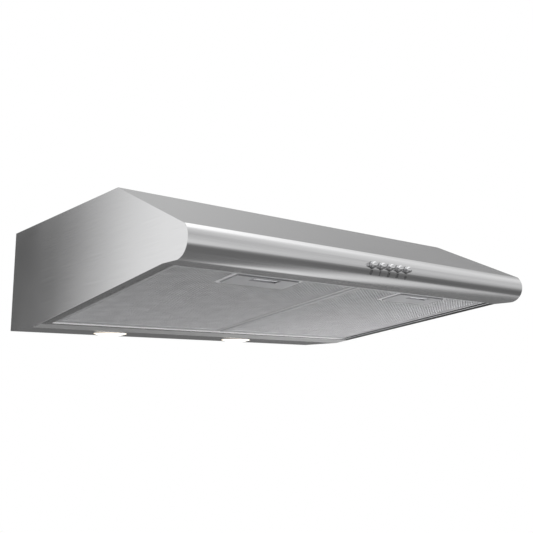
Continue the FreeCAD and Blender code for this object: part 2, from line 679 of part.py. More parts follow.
def motor_bushes():
    """Two sleeve bearings pressed into the can's bosses."""
    bushes = []
    for low in (MOTOR_BOTTOM, MOTOR_TOP - 8):
        bush = upright(6, low, low + 8, FAN_X, FAN_DEPTH)
        bushes.append(bush.cut(upright(BUSH_BORE_R, low - 1, low + 9, FAN_X, FAN_DEPTH)))
    return bushes


def motor_stator():
    """The wound core: a ring with six poles."""
    low, high = MOTOR_BOTTOM + 10, MOTOR_TOP - 10
    ring = upright(MOTOR_R - 1.5, low, high, FAN_X, FAN_DEPTH)
    ring = ring.cut(upright(19.5, low - 1, high + 1, FAN_X, FAN_DEPTH))
    slots = []
    for n in range(6):
        slot = block(-3.5, 3.5, 0, 31, low - 1, high + 1)
        slot.translate(Vector(FAN_X, wall_y(FAN_DEPTH) - wall_y(0), 0))
        slot.rotate(at(FAN_X, FAN_DEPTH, 0), Vector(0, 0, 1), 60 * n + 30)
        slots.append(slot)
    return cut_all(ring, slots)


def motor_rotor():
    rotor = upright(18.8, MOTOR_BOTTOM + 11, MOTOR_TOP - 11, FAN_X, FAN_DEPTH)
    return rotor.cut(upright(SHAFT_R, -60, 0, FAN_X, FAN_DEPTH))


def motor_shaft():
    return upright(SHAFT_R, MOTOR_BOTTOM - 14, MOTOR_TOP + 1, FAN_X, FAN_DEPTH)


def impeller():
    """The drum fan's dished back plate, which wraps the motor, and the hub on the shaft."""
    dish_low = MOTOR_BOTTOM - 4.5
    plate = upright(FAN_R, IMPELLER_TOP - 1.5, IMPELLER_TOP, FAN_X, FAN_DEPTH)
    cup = upright(46.5, dish_low, IMPELLER_TOP, FAN_X, FAN_DEPTH)
    drum = plate.fuse(cup)
    drum = drum.cut(upright(45, dish_low + 1.5, IMPELLER_TOP + 1, FAN_X, FAN_DEPTH))
    drum = drum.fuse(upright(8, MOTOR_BOTTOM - 13, dish_low + 1, FAN_X, FAN_DEPTH))
    return drum.cut(upright(SHAFT_R, -90, 0, FAN_X, FAN_DEPTH)).removeSplitter()


def impeller_blades():
    """The ring of curved blades under the back plate, with a ring at each end."""
    low = SCROLL_BOTTOM + 9
    high = IMPELLER_TOP - 1.5
    inner_r, outer_r, blade_r, thick = 59.0, FAN_R - 0.3, 9.0, 0.9
    rings = []
    for ring_low in (low, high - 1.5):
        ring = upright(FAN_R, ring_low, ring_low + 1.5, FAN_X, FAN_DEPTH)
        rings.append(ring.cut(upright(inner_r - 1, ring_low - 1, ring_low + 3, FAN_X, FAN_DEPTH)))
    chord = math.hypot(outer_r - inner_r, 2.0)
    middle = ((inner_r + outer_r) / 2, 1.0)
    bulge = blade_r - math.sqrt(blade_r ** 2 - (chord / 2) ** 2)
    blades = []
    for n in range(BLADES):
        points = []
        for extra in (0.0, thick):
            points.append(Vector(inner_r, extra, 0))
            points.append(Vector(middle[0], middle[1] + bulge + extra, 0))
            points.append(Vector(outer_r, extra - 2.0, 0))
        near = Part.Arc(points[0], points[1], points[2]).toShape()
        far = Part.Arc(points[3], points[4], points[5]).toShape()
        ends = [Part.makeLine(points[0], points[3]), Part.makeLine(points[2], points[5])]
        face = Part.Face(Part.Wire(Part.__sortEdges__([near, far] + ends)))
        blade = face.extrude(Vector(0, 0, high - low - 1.5))
        blade.rotate(Vector(0, 0, 0), Vector(0, 0, 1), 360.0 * n / BLADES)
        blade.translate(at(FAN_X, FAN_DEPTH, low + 0.75))
        blades.append(blade)
    return rings[0].fuse(rings[1:] + blades).removeSplitter()


# ---------------------------------------------------------------- outlet

def outlet_collar():
    """The duct spigot on the roof: flange, tube, end bead and stops for the flaps."""
    low = SCROLL_TOP - 3
    collar = upright(DUCT_R + DUCT_WALL, low, DUCT_TOP, 0, DUCT_DEPTH)
    collar = collar.fuse(upright(DUCT_FLANGE_R, 0, DUCT_FLANGE, 0, DUCT_DEPTH))
    collar = collar.cut(upright(DUCT_R, low - 1, DUCT_TOP + 1, 0, DUCT_DEPTH))
    stop_top = DAMPER_HEIGHT - 0.6
    stop = upright(DUCT_R + 0.5, stop_top - 1.5, stop_top, 0, DUCT_DEPTH)
    stop = stop.cut(upright(DUCT_R - 3.5, -9, 0, 0, DUCT_DEPTH))
    collar = collar.fuse(stop)
    pin = cylinder(1.52, 2 * DUCT_R + 20, at(-DUCT_R - 10, DUCT_DEPTH, DAMPER_HEIGHT), Vector(1, 0, 0))
    holes = [upright(1.7, -5, 5, x, depth) for x, depth in collar_screw_places()]
    return cut_all(collar, holes + [pin]).removeSplitter()


def collar_screw_places():
    radius = (DUCT_R + DUCT_WALL + DUCT_FLANGE_R) / 2
    angles = [math.radians(45 + 90 * n) for n in range(4)]
    return [(radius * math.cos(a), DUCT_DEPTH + radius * math.sin(a)) for a in angles]


def damper_pin():
    length = 2 * (DUCT_R + DUCT_WALL)
    return cylinder(1.5, length, at(-length / 2, DUCT_DEPTH, DAMPER_HEIGHT), Vector(1, 0, 0))


def damper_flap(front):
    """A half-moon flap with three hinge knuckles on the pin."""
    low, high = DAMPER_HEIGHT - 0.5, DAMPER_HEIGHT + 0.5
    disc = upright(DUCT_R - 1.0, low, high, 0, DUCT_DEPTH)
    keep = block(-DUCT_R, DUCT_R, DUCT_DEPTH + 2.6, DUCT_DEPTH + DUCT_R, low, high)
    if not front:
        keep = block(-DUCT_R, DUCT_R, DUCT_DEPTH - DUCT_R, DUCT_DEPTH - 2.6, low, high)
    flap = disc.common(keep)
    shift = 1 if front else -1
    starts = [-45, -5, 35] if front else [-25, 15]
    axis = Vector(1, 0, 0)
    for start in starts:
        knuckle = cylinder(2.3, 10, at(start, DUCT_DEPTH, DAMPER_HEIGHT), axis)
        near, far = sorted((DUCT_DEPTH, DUCT_DEPTH + shift * 4))
        knuckle = knuckle.fuse(block(start, start + 10, near, far, low, high))
        flap = flap.fuse(knuckle)
    return flap.cut(cylinder(1.58, 200, at(-100, DUCT_DEPTH, DAMPER_HEIGHT), axis)).removeSplitter()


# ---------------------------------------------------------------- electrics

def terminal_box():
    """The open-sided box behind the cable gland."""
    box = block(*BOX_X, SHEET, BOX_FRONT, *BOX_Z)
    inside_x = (BOX_X[0] + 2, BOX_X[1] - 2)
    box = box.cut(block(*inside_x, SHEET + 2, BOX_FRONT + 1, BOX_Z[0] + 2, BOX_Z[1] - 2))
    box = box.cut(inward(GLAND_R, 10, -10, GLAND_X, GLAND_HEIGHT))
    strip = block(GLAND_X + 12, GLAND_X + 40, SHEET + 1.5, SHEET + 16, BOX_Z[0] + 12, BOX_Z[0] + 26)
    wire_hole = block(BOX_X[1] - 3, BOX_X[1] + 1, 22, 32, BOX_Z[0] + 8, BOX_Z[0] + 18)
    return box.fuse(strip).cut(wire_hole).removeSplitter()


def terminal_box_cover():
    """The cover, with a skirt that fits inside the box's walls."""
    plate = block(*BOX_X, BOX_FRONT, BOX_FRONT + 1.5, *BOX_Z)
    skirts = []
    for gap in (2.2, 3.7):
        x = (BOX_X[0] + gap, BOX_X[1] - gap)
        skirts.append(block(*x, BOX_FRONT - 4, BOX_FRONT, BOX_Z[0] + gap, BOX_Z[1] - gap))
    return plate.fuse(skirts[0].cut(skirts[1])).removeSplitter()


def cable_gland():
    """The bushed entry for the supply cable, with a nut inside the terminal box."""
    axis = Vector(0, -1, 0)
    bush = cylinder(GLAND_R, 14, at(GLAND_X, 0, GLAND_HEIGHT), axis)
    corners = []
    for angle in [math.radians(60 * n) for n in range(7)]:
        x = GLAND_X + 11 * math.cos(angle)
        corners.append(at(x, SHEET + 2, GLAND_HEIGHT + 11 * math.sin(angle)))
    nut = Part.Face(Part.makePolygon(corners)).extrude(axis * 5)
    bore = cylinder(GLAND_BORE_R, 40, at(GLAND_X, -10, GLAND_HEIGHT), axis)
    return bush.fuse(nut).cut(bore).removeSplitter()


def run_capacitor():
    """The motor's capacitor, held flat under the roof."""
    base = at(CAPACITOR_X, CAPACITOR_DEPTH, CAPACITOR_HEIGHT)
    can = cylinder(CAPACITOR_R, 58, base, Vector(1, 0, 0))
    stub = cylinder(4, 8, base + Vector(58, 0, 0), Vector(1, 0, 0))
    return fuse_all([can, stub])


def capacitor_clip():
    """The strap that holds the capacitor against the roof."""
    x = CAPACITOR_X + 22
    axis = Vector(1, 0, 0)
    rear, front = CAPACITOR_DEPTH - CAPACITOR_R, CAPACITOR_DEPTH + CAPACITOR_R
    top = -SHEET
    strap = cylinder(CAPACITOR_R + 1.5, 14, at(x, CAPACITOR_DEPTH, CAPACITOR_HEIGHT), axis)
    strap = strap.fuse(block(x, x + 14, rear - 1.5, front + 1.5, CAPACITOR_HEIGHT, top))
    strap = strap.fuse(block(x, x + 14, rear - 14, front + 14, top - 1.5, top))
    strap = strap.cut(cylinder(CAPACITOR_R, 20, at(x - 2, CAPACITOR_DEPTH, CAPACITOR_HEIGHT), axis))
    strap = strap.cut(block(x - 1, x + 15, rear, front, CAPACITOR_HEIGHT, top + 1))
    for depth in (rear - 8, front + 8):
        strap = strap.cut(upright(SMALL_HOLE_R, top - 5, top + 1, x + 7, depth))
    return strap.removeSplitter()


def wiring_loom():
    """The sleeved wires from the terminal box along the left cheek and the front rail."""
    points = [at(*p) for p in LOOM_POINTS]
    edges = []
    last = points[0]
    for a, b, c in zip(points, points[1:], points[2:]):
        to_a = (a - b).normalize()
        to_c = (c - b).normalize()
        half_turn = (math.pi - to_a.getAngle(to_c)) / 2
        reach = LOOM_BEND * math.tan(half_turn)
        middle = (to_a + to_c).normalize()
        start = b + to_a * reach
        end = b + to_c * reach
        top = b + middle * (LOOM_BEND / math.cos(half_turn) - LOOM_BEND)
        edges.append(Part.makeLine(last, start))
        edges.append(Part.Arc(start, top, end).toShape())
        last = end
    edges.append(Part.makeLine(last, points[-1]))
    path = Part.Wire(edges)
    ring = Part.Wire(Part.makeCircle(LOOM_R, points[0], points[1] - points[0]))
    loom = path.makePipeShell([ring], True, True)
    section = math.pi * LOOM_R ** 2
    print("loom volume over section times length:", loom.Volume / (path.Length * section))
    return loom


# ---------------------------------------------------------------- fasteners

def collar_screws():
    up = Vector(0, 0, 1)
    return [screw(at(x, depth, DUCT_FLANGE), up, 1.6, 5) for x, depth in collar_screw_places()]


def motor_screws():
    """Three screws down through the grommets into the motor bracket."""
    up = Vector(0, 0, 1)
    return [screw(at(x, depth, SCROLL_TOP + 2.2), up, 1.6, 8) for x, depth in fan_screw_places()]


def switch_screws():
    front = Vector(0, -1, 0)
    return [screw(at(x, 452.0 + SHEET + 3, BUTTON_HEIGHT), front, 1.6, 4.1) for x in (-49, 49)]


def main():
    os.makedirs("parts", exist_ok=True)
    for name, side in SIDES:
        save(name + "_side_panel", side_panel(side))
        save("filter_frame_" + name, filter_frame(side))
        save("filter_face_mesh_" + name, filter_face_mesh(side))
        save("filter_core_mesh_" + name, filter_core_mesh(side))
        save("latch_plate_" + name, latch_plate(side))
        save("latch_" + name, latch(side))
        save("latch_spring_" + name, latch_spring(side))
    save("roof_panel", roof_panel())
    save("rear_panel", rear_panel())
    save("front_fascia", front_fascia())
    save("front_rail", front_rail())
    save("lamp_panel", lamp_panel())
    save("filter_hinge_rod", filter_hinge_rod())
    for (name, _), x in zip(SIDES, LAMP_X):
        save("lamp_bezel_" + name, lamp_bezel(x))
        save("lamp_lens_" + name, lamp_lens(x))
        save("lamp_housing_" + name, lamp_housing(x))
        save("lamp_bulb_" + name, lamp_bulb(x))
    for name, x in zip(BUTTON_NAMES, BUTTON_X):
        save(name, button(x))
    save("switch_block", switch_block())
    save("button_springs", button_springs())
    save("blower_housing_upper", blower_housing(True))
    save("blower_housing_lower", blower_housing(False))
    save("motor_mounts", motor_mounts())
    save("motor_bracket", motor_bracket())
    save("motor_housing", motor_housing())
    save("motor_bushes", motor_bushes())
    save("motor_stator", motor_stator())
    save("motor_rotor", motor_rotor())
    save("motor_shaft", motor_shaft())
    save("impeller", impeller())
    save("impeller_blades", impeller_blades())
    save("outlet_collar", outlet_collar())
    save("damper_pin", damper_pin())
    save("damper_flap_front", damper_flap(True))
    save("damper_flap_rear", damper_flap(False))
    save("terminal_box", terminal_box())
    save("terminal_box_cover", terminal_box_cover())
    save("cable_gland", cable_gland())
    save("run_capacitor", run_capacitor())
    save("capacitor_clip", capacitor_clip())
    save("wiring_loom", wiring_loom())
    save("collar_screws", collar_screws())
    save("motor_screws", motor_screws())
    save("switch_screws", switch_screws())


main()
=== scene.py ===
import json
import math

import bmesh
import bpy
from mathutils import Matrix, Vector


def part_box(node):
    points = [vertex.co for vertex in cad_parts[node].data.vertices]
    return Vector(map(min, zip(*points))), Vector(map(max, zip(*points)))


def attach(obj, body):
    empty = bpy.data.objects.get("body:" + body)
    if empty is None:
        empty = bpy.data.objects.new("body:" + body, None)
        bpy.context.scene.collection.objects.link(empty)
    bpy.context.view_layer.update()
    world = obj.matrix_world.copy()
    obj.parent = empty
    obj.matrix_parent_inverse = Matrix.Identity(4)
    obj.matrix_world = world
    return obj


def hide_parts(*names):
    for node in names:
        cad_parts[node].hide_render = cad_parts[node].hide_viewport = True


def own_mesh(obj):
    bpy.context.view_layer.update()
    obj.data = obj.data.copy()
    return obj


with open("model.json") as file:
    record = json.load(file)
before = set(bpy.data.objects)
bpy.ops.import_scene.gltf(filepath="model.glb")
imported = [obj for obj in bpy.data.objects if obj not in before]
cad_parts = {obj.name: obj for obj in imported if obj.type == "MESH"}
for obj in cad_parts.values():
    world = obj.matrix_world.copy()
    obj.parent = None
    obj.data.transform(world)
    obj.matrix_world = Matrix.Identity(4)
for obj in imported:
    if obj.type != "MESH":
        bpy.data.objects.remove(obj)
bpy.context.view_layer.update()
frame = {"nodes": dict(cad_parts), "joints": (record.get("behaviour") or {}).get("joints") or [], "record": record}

MM = 0.001

# Camera: 48.5 mm lens on a 36 mm sensor, below the hood and to its left, looking up at it
CAMERA_FROM_ROOF_FRONT = Vector((-680.7, -755.5, -233.5)) * MM
CAMERA_YAW = 38.79
CAMERA_PITCH = 9.45
CAMERA_LENS = 48.51
CAMERA_SENSOR = 36.0
CAMERA_CLIP = (0.05, 60.0)

# Where the flat roof's front edge lies along Y
ROOF_FRONT_Y = -168.5 * MM

# The floor is low enough to stay out of the views from below
FLOOR_HEIGHT = -1.35
FLOOR_HALF = 2.6

# Name, place, target, size and power of each soft light
AREA_LIGHTS = (
    ("key", (-1.6, -2.2, 1.6), (0, 0, -0.1), (1.6, 1.2), 60),
    ("fill", (1.8, -1.6, 0.2), (0, 0, -0.1), (1.4, 1.4), 15),
    ("under", (0.42, -0.20, -0.62), (0.15, -0.03, -0.1), (0.5, 0.5), 6.0),
)

# Studio walls, by angle round the hood's long axis: 0 is level in front, 90 overhead, 180 behind,
# -90 underfoot. One list for what lies to the left of the view, one for what lies to the right.
LEFT_WALLS = (
    (-180, 0.15), (-165, 0.17), (-150, 0.26), (-125, 0.21), (-60, 0.19), (-34, 0.20), (-25, 0.42),
    (-15, 1.02), (0, 0.87), (14, 0.71), (32, 0.62), (50, 0.74), (66, 0.92), (76, 1.60), (100, 1.80),
    (112, 0.80), (124, 0.56), (150, 0.56), (160, 0.30), (168, 0.12), (180, 0.13),
)
RIGHT_WALLS = (
    (-180, 0.18), (-165, 0.20), (-150, 0.22), (-100, 0.22), (-50, 0.17), (-30, 0.14), (-16, 0.22),
    (-2, 0.56), (14, 0.76), (34, 0.74), (50, 0.93), (62, 1.08), (74, 0.98), (86, 0.62), (104, 0.38),
    (150, 0.29), (168, 0.20), (180, 0.18),
)
# The left list gives way to the right one between these sideways directions
WALLS_MEET = (0.50, 0.86)

# A strip light low on the right that leans back a little: its sideways direction, where it begins
# to fade and is gone either side of that, and the angles it fades in and out between
STRIP_LEVEL = 0.82
STRIP_LEAN = 0.75
STRIP_MIDDLE = 0.5475
STRIP_FADE = (0.03, 0.10)
STRIP_START = (-56, -72)
STRIP_END = (-160, -138)

# A bright wall on the left, dimmer in front than behind
SIDE_WALL_LEVEL = 1.12
SIDE_WALL_FADE = (-0.35, -0.50)
SIDE_WALL_BEHIND = (0.25, 0.60)
SIDE_WALL_FRONT_SHARE = 0.25

# Brushed steel: how many streaks there are in a metre across the grain, and along it
FINE_STREAKS = (3200.0, 14.0)
WIDE_STREAKS = (420.0, 5.0)

# Folded parts of the canopy painted apart from the steel, by distance ahead of the filters' hinge: painted shade
# on the side flanges and on the lamp panel's strip, a painted highlight on the front face of its lip
FLANGE_AHEAD = (-30 * MM, 330 * MM)
LIP_AHEAD = (-36 * MM, -6 * MM)
SAME_FACING = 0.99

# Filter face: pitch of the diamonds, share of a diamond that is hole, twist and thickness of the
# strands, and the flat pressed border round it, which reaches a little under the latch plate
PITCH_ACROSS = 6.4 * MM
PITCH_ALONG = 4.6 * MM
FACE_HOLE = 0.66
FACE_RELIEF = 0.45 * MM
FACE_THICKNESS = 0.3 * MM
PRESSED_BORDER = 6.0 * MM
PLATE_OVERLAP = 0.3 * MM
# The hole's edge rises by this share of the strands' twist
HOLE_LIFT = 0.3

# Filter core: where each layer lies in the core's height, its pitches in mm and its share of hole
CORE_LAYERS = ((0.0, 7.2, 5.4, 0.50), (0.5, 8.0, 6.0, 0.45))
CORE_RELIEF = 0.3 * MM

# Lamp glass: how far its neck clears the bezel, its rim keeps inside it and its cap bulges
NECK_GAP = 1.5 * MM
RIM_INSET = 2.0 * MM
GLASS_GAP = 0.05 * MM
GLASS_DROP = 3.9 * MM
NECK_CHAMFER = 0.3 * MM
RIM_CHAMFER = 0.2 * MM
CAP_STEPS = 14

# A coil keeps within this distance of its middle
SPRING_REACH = 6.0 * MM

# The nose and the marks on it: their feet sit this far round from level, and they stand a little
# to the right of the buttons
BUTTONS = ("off", "speed_1", "speed_2", "speed_3", "lamp")
NOSE_RADIUS = 21.6 * MM
MARK_ANGLE = -35.0
MARK_SHIFT = 1.0 * MM
MARK_HALF_THICKNESS = 0.03 * MM
FIGURE_WIDE = 3.9 * MM
FIGURE_TALL = 6.0 * MM
FIGURE_STROKE = 1.45 * MM
BAR_STEPS = 4
WELD_DISTANCE = 0.001 * MM

# The lamp's mark: a ring with rays round it
RING_HEIGHT = 2.7 * MM
RING_RADII = (0.55 * MM, 1.35 * MM)
RING_SIDES = 20
RAYS = 8
RAY_REACH = (1.75 * MM, 2.7 * MM)
RAY_HALF_WIDTH = 0.28 * MM


def add_object(name, data):
    obj = bpy.data.objects.new(name, data)
    bpy.context.scene.collection.objects.link(obj)
    return obj


def mesh_object(name, build):
    """Puts a finished bmesh into the scene."""
    mesh = bpy.data.meshes.new(name)
    build.to_mesh(mesh)
    build.free()
    return add_object(name, mesh)


def middle_x(node):
    low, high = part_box(node)
    return (low.x + high.x) / 2


# ---------------------------------------------------------------- camera, light and floor

def make_camera():
    data = bpy.data.cameras.new("camera")
    data.lens = CAMERA_LENS
    data.sensor_width = CAMERA_SENSOR
    data.clip_start, data.clip_end = CAMERA_CLIP
    camera = add_object("camera", data)
    camera.location = CAMERA_FROM_ROOF_FRONT + Vector((0, ROOF_FRONT_Y, 0))
    camera.rotation_euler = (math.radians(90 + CAMERA_PITCH), 0, math.radians(-CAMERA_YAW))
    bpy.context.scene.camera = camera


def turn_share(angle):
    """Where an angle in degrees lies in the turn from -180 to 180."""
    return (angle + 180) / 360


def wall_ramp(tree, turn, stops):
    ramp = tree.nodes.new("ShaderNodeValToRGB")
    elements = ramp.color_ramp.elements
    while len(elements) < len(stops):
        elements.new(0.5)
    for element, (angle, level) in zip(elements, stops):
        element.position = turn_share(angle)
        element.color = (level, level, level, 1)
    tree.links.new(turn, ramp.inputs["Fac"])
    return value_of(tree, ramp.outputs["Color"])


def studio_level(tree):
    """How bright the studio is in each direction."""
    direction = tree.nodes.new("ShaderNodeTexCoord").outputs["Generated"]
    split = tree.nodes.new("ShaderNodeSeparateXYZ")
    tree.links.new(direction, split.inputs[0])
    x, y, z = split.outputs
    angle = math_node(tree, "ARCTAN2", z, math_node(tree, "MULTIPLY", y, -1.0))
    turn = map_range(tree, angle, -math.pi, math.pi, 0, 1)
    left = wall_ramp(tree, turn, LEFT_WALLS)
    right = wall_ramp(tree, turn, RIGHT_WALLS)
    walls = mix_values(tree, map_range(tree, x, *WALLS_MEET, 0, 1), left, right)
    across = math_node(tree, "SUBTRACT", x, math_node(tree, "MULTIPLY", turn, STRIP_LEAN))
    off_middle = math_node(tree, "ABSOLUTE", math_node(tree, "SUBTRACT", across, STRIP_MIDDLE), 0.0)
    strip = map_range(tree, off_middle, *STRIP_FADE, STRIP_LEVEL, 0, "SMOOTHSTEP")
    for limits in (STRIP_START, STRIP_END):
        fade = map_range(tree, turn, *map(turn_share, limits), 0, 1, "SMOOTHSTEP")
        strip = math_node(tree, "MULTIPLY", strip, fade)
    level = math_node(tree, "ADD", walls, strip)
    wall = map_range(tree, x, *SIDE_WALL_FADE, 0, 1, "SMOOTHSTEP")
    behind = map_range(tree, y, *SIDE_WALL_BEHIND, SIDE_WALL_FRONT_SHARE, 1, "SMOOTHSTEP")
    return mix_values(tree, math_node(tree, "MULTIPLY", wall, behind), level, SIDE_WALL_LEVEL)


def make_world():
    world = bpy.data.worlds.new("studio")
    world.use_nodes = True
    bpy.context.scene.world = world
    tree = world.node_tree
    tree.nodes.clear()
    output = tree.nodes.new("ShaderNodeOutputWorld")
    studio = tree.nodes.new("ShaderNodeBackground")
    studio.inputs["Color"].default_value = (1, 1, 1, 1)
    tree.links.new(studio_level(tree), studio.inputs["Strength"])
    white = tree.nodes.new("ShaderNodeBackground")
    white.inputs["Color"].default_value = (1, 1, 1, 1)
    path = tree.nodes.new("ShaderNodeLightPath")
    mix = tree.nodes.new("ShaderNodeMixShader")
    tree.links.new(path.outputs["Is Camera Ray"], mix.inputs[0])
    tree.links.new(studio.outputs[0], mix.inputs[1])
    tree.links.new(white.outputs[0], mix.inputs[2])
    tree.links.new(mix.outputs[0], output.inputs[0])


def make_area(name, place, target, size, power):
    data = bpy.data.lights.new(name, "AREA")
    data.shape = "RECTANGLE"
    data.size, data.size_y = size
    data.energy = power
    light = add_object(name, data)
    light.location = place
    light.rotation_euler = (Vector(target) - Vector(place)).to_track_quat("-Z", "Y").to_euler()
    light.visible_glossy = False
    light.visible_camera = False


def make_floor():
    mesh = bpy.data.meshes.new("floor")
    signs = ((-1, -1), (1, -1), (1, 1), (-1, 1))
    corners = [(x * FLOOR_HALF, y * FLOOR_HALF, FLOOR_HEIGHT) for x, y in signs]
    mesh.from_pydata(corners, [], [(0, 1, 2, 3)])
    floor = add_object("floor", mesh)
    floor.visible_glossy = False
    material, tree, shader = new_material("floor_paint")
    grain = noise(tree, coordinates(tree, (1, 1, 1)), 2.0, 3)
    blend_colour(tree, grain, (0.84, 0.84, 0.84), (0.88, 0.88, 0.88), shader.inputs["Base Color"])
    shader.inputs["Roughness"].default_value = 0.8
    mesh.materials.append(material)


# ---------------------------------------------------------------- node helpers

def new_material(name):
    material = bpy.data.materials.new(name)
    material.use_nodes = True
    tree = material.node_tree
    return material, tree, tree.nodes["Principled BSDF"]


def coordinates(tree, scale):
    """Positions in the object's own frame, stretched along each axis."""
    source = tree.nodes.new("ShaderNodeTexCoord")
    mapping = tree.nodes.new("ShaderNodeMapping")
    mapping.inputs["Scale"].default_value = scale
    tree.links.new(source.outputs["Object"], mapping.inputs["Vector"])
    return mapping.outputs["Vector"]


def noise(tree, vector, scale, detail, roughness=0.5):
    node = tree.nodes.new("ShaderNodeTexNoise")
    node.inputs["Scale"].default_value = scale
    node.inputs["Detail"].default_value = detail
    node.inputs["Roughness"].default_value = roughness
    tree.links.new(vector, node.inputs["Vector"])
    return node.outputs["Fac"]


def map_range(tree, value, from_low, from_high, to_low, to_high, kind="LINEAR"):
    node = tree.nodes.new("ShaderNodeMapRange")
    node.interpolation_type = kind
    node.inputs["From Min"].default_value = from_low
    node.inputs["From Max"].default_value = from_high
    node.inputs["To Min"].default_value = to_low
    node.inputs["To Max"].default_value = to_high
    tree.links.new(value, node.inputs["Value"])
    return node.outputs["Result"]


def math_node(tree, operation, first, second):
    node = tree.nodes.new("ShaderNodeMath")
    node.operation = operation
    for value, socket in ((first, node.inputs[0]), (second, node.inputs[1])):
        if isinstance(value, (int, float)):
            socket.default_value = value
        else:
            tree.links.new(value, socket)
    return node.outputs[0]


def value_of(tree, colour):
    split = tree.nodes.new("ShaderNodeSeparateColor")
    tree.links.new(colour, split.inputs[0])
    return split.outputs[0]


def mix_values(tree, factor, first, second):
    """first + factor * (second - first)"""
    change = math_node(tree, "SUBTRACT", second, first)
    return math_node(tree, "ADD", math_node(tree, "MULTIPLY", change, factor), first)


def blend_colour(tree, factor, low, high, target):
    """Colours a socket between two colours by a factor."""
    node = tree.nodes.new("ShaderNodeMix")
    node.data_type = "RGBA"
    first, second = [s for s in node.inputs if s.type == "RGBA"]
    first.default_value = (*low, 1)
    second.default_value = (*high, 1)
    tree.links.new(factor, node.inputs["Factor"])
    tree.links.new([s for s in node.outputs if s.type == "RGBA"][0], target)


def bump(tree, shader, height, strength, distance):
    node = tree.nodes.new("ShaderNodeBump")
    node.inputs["Strength"].default_value = strength
    node.inputs["Distance"].default_value = distance
    tree.links.new(height, node.inputs["Height"])
    tree.links.new(node.outputs["Normal"], shader.inputs["Normal"])


# ---------------------------------------------------------------- materials

def brushed_steel(name, grain, dark, light, rough_low, rough_high, streaky=0.35, edge=1.0):
    """Brushed stainless: fine streaks along the grain axis, a share of wide ones, and smudges.

    edge is how bright it stays when seen at a grazing angle.
    """
    material, tree, shader = new_material(name)
    fine_scale = [FINE_STREAKS[0]] * 3
    wide_scale = [WIDE_STREAKS[0]] * 3
    fine_scale[grain] = FINE_STREAKS[1]
    wide_scale[grain] = WIDE_STREAKS[1]
    fine = noise(tree, coordinates(tree, fine_scale), 1.0, 2)
    wide = noise(tree, coordinates(tree, wide_scale), 1.0, 4, 0.6)
    smudge = noise(tree, coordinates(tree, (1, 1, 1)), 7.0, 3)
    fine_part = math_node(tree, "MULTIPLY", fine, 1 - streaky)
    streaks = math_node(tree, "ADD", fine_part, math_node(tree, "MULTIPLY", wide, streaky))
    tone = map_range(tree, streaks, 0.35, 0.65, 0, 1)
    blend_colour(tree, tone, dark, light, shader.inputs["Base Color"])
    smudged = map_range(tree, smudge, 0.3, 0.7, -0.01, 0.02)
    rough = math_node(tree, "ADD", map_range(tree, streaks, 0.35, 0.65, rough_low, rough_high), smudged)
    tree.links.new(rough, shader.inputs["Roughness"])
    shader.inputs["Metallic"].default_value = 1.0
    shader.inputs["Anisotropic"].default_value = 0.45
    shader.inputs["Specular Tint"].default_value = (edge, edge, edge, 1)
    bump(tree, shader, fine, 0.015, 0.00005)
    return material


def plain_metal(name, dark, light, roughness, grain_scale=900.0, bump_strength=0.08, metallic=1.0):
    """A metal with an even fine texture and cloudy roughness, less metallic under a dull skin."""
    material, tree, shader = new_material(name)
    cloud = noise(tree, coordinates(tree, (1, 1, 1)), 60.0, 4)
    grain = noise(tree, coordinates(tree, (1, 1, 1)), grain_scale, 2)
    blend_colour(tree, map_range(tree, cloud, 0.3, 0.7, 0, 1), dark, light, shader.inputs["Base Color"])
    rough = map_range(tree, cloud, 0.25, 0.75, roughness - 0.05, roughness + 0.08)
    tree.links.new(rough, shader.inputs["Roughness"])
    shader.inputs["Metallic"].default_value = metallic
    bump(tree, shader, grain, bump_strength, 0.0001)
    return material


def galvanised(name):
    """Zinc coated sheet with a faint spangle."""
    material, tree, shader = new_material(name)
    cells = tree.nodes.new("ShaderNodeTexVoronoi")
    cells.inputs["Scale"].default_value = 110.0
    tree.links.new(coordinates(tree, (1, 1, 1)), cells.inputs["Vector"])
    tone = tree.nodes.new("ShaderNodeRGBToBW")
    tree.links.new(cells.outputs["Color"], tone.inputs[0])
    blend_colour(tree, tone.outputs[0], (0.42, 0.43, 0.44), (0.56, 0.57, 0.58), shader.inputs["Base Color"])
    tree.links.new(map_range(tree, tone.outputs[0], 0, 1, 0.32, 0.52), shader.inputs["Roughness"])
    shader.inputs["Metallic"].default_value = 1.0
    bump(tree, shader, tone.outputs[0], 0.05, 0.0002)
    return material


def plastic(name, dark, light, roughness, texture=1400.0, strength=0.15):
    """Moulded plastic with a fine spark texture and slight dust."""
    material, tree, shader = new_material(name)
    spark = noise(tree, coordinates(tree, (1, 1, 1)), texture, 2)
    cloud = noise(tree, coordinates(tree, (1, 1, 1)), 25.0, 4)
    blend_colour(tree, map_range(tree, cloud, 0.3, 0.7, 0, 1), dark, light, shader.inputs["Base Color"])
    rough = map_range(tree, cloud, 0.3, 0.7, roughness - 0.05, roughness + 0.08)
    tree.links.new(rough, shader.inputs["Roughness"])
    bump(tree, shader, spark, strength, 0.0001)
    return material


def windings(name):
    """Steel laminations seen edge on, with varnished copper tone."""
    material, tree, shader = new_material(name)
    layers = noise(tree, coordinates(tree, (20, 20, 1800)), 1.0, 1)
    tone = map_range(tree, layers, 0.4, 0.6, 0, 1)
    blend_colour(tree, tone, (0.20, 0.10, 0.05), (0.62, 0.30, 0.13), shader.inputs["Base Color"])
    tree.links.new(map_range(tree, layers, 0.3, 0.7, 0.3, 0.5), shader.inputs["Roughness"])
    shader.inputs["Metallic"].default_value = 0.8
    bump(tree, shader, layers, 0.3, 0.0002)
    return material


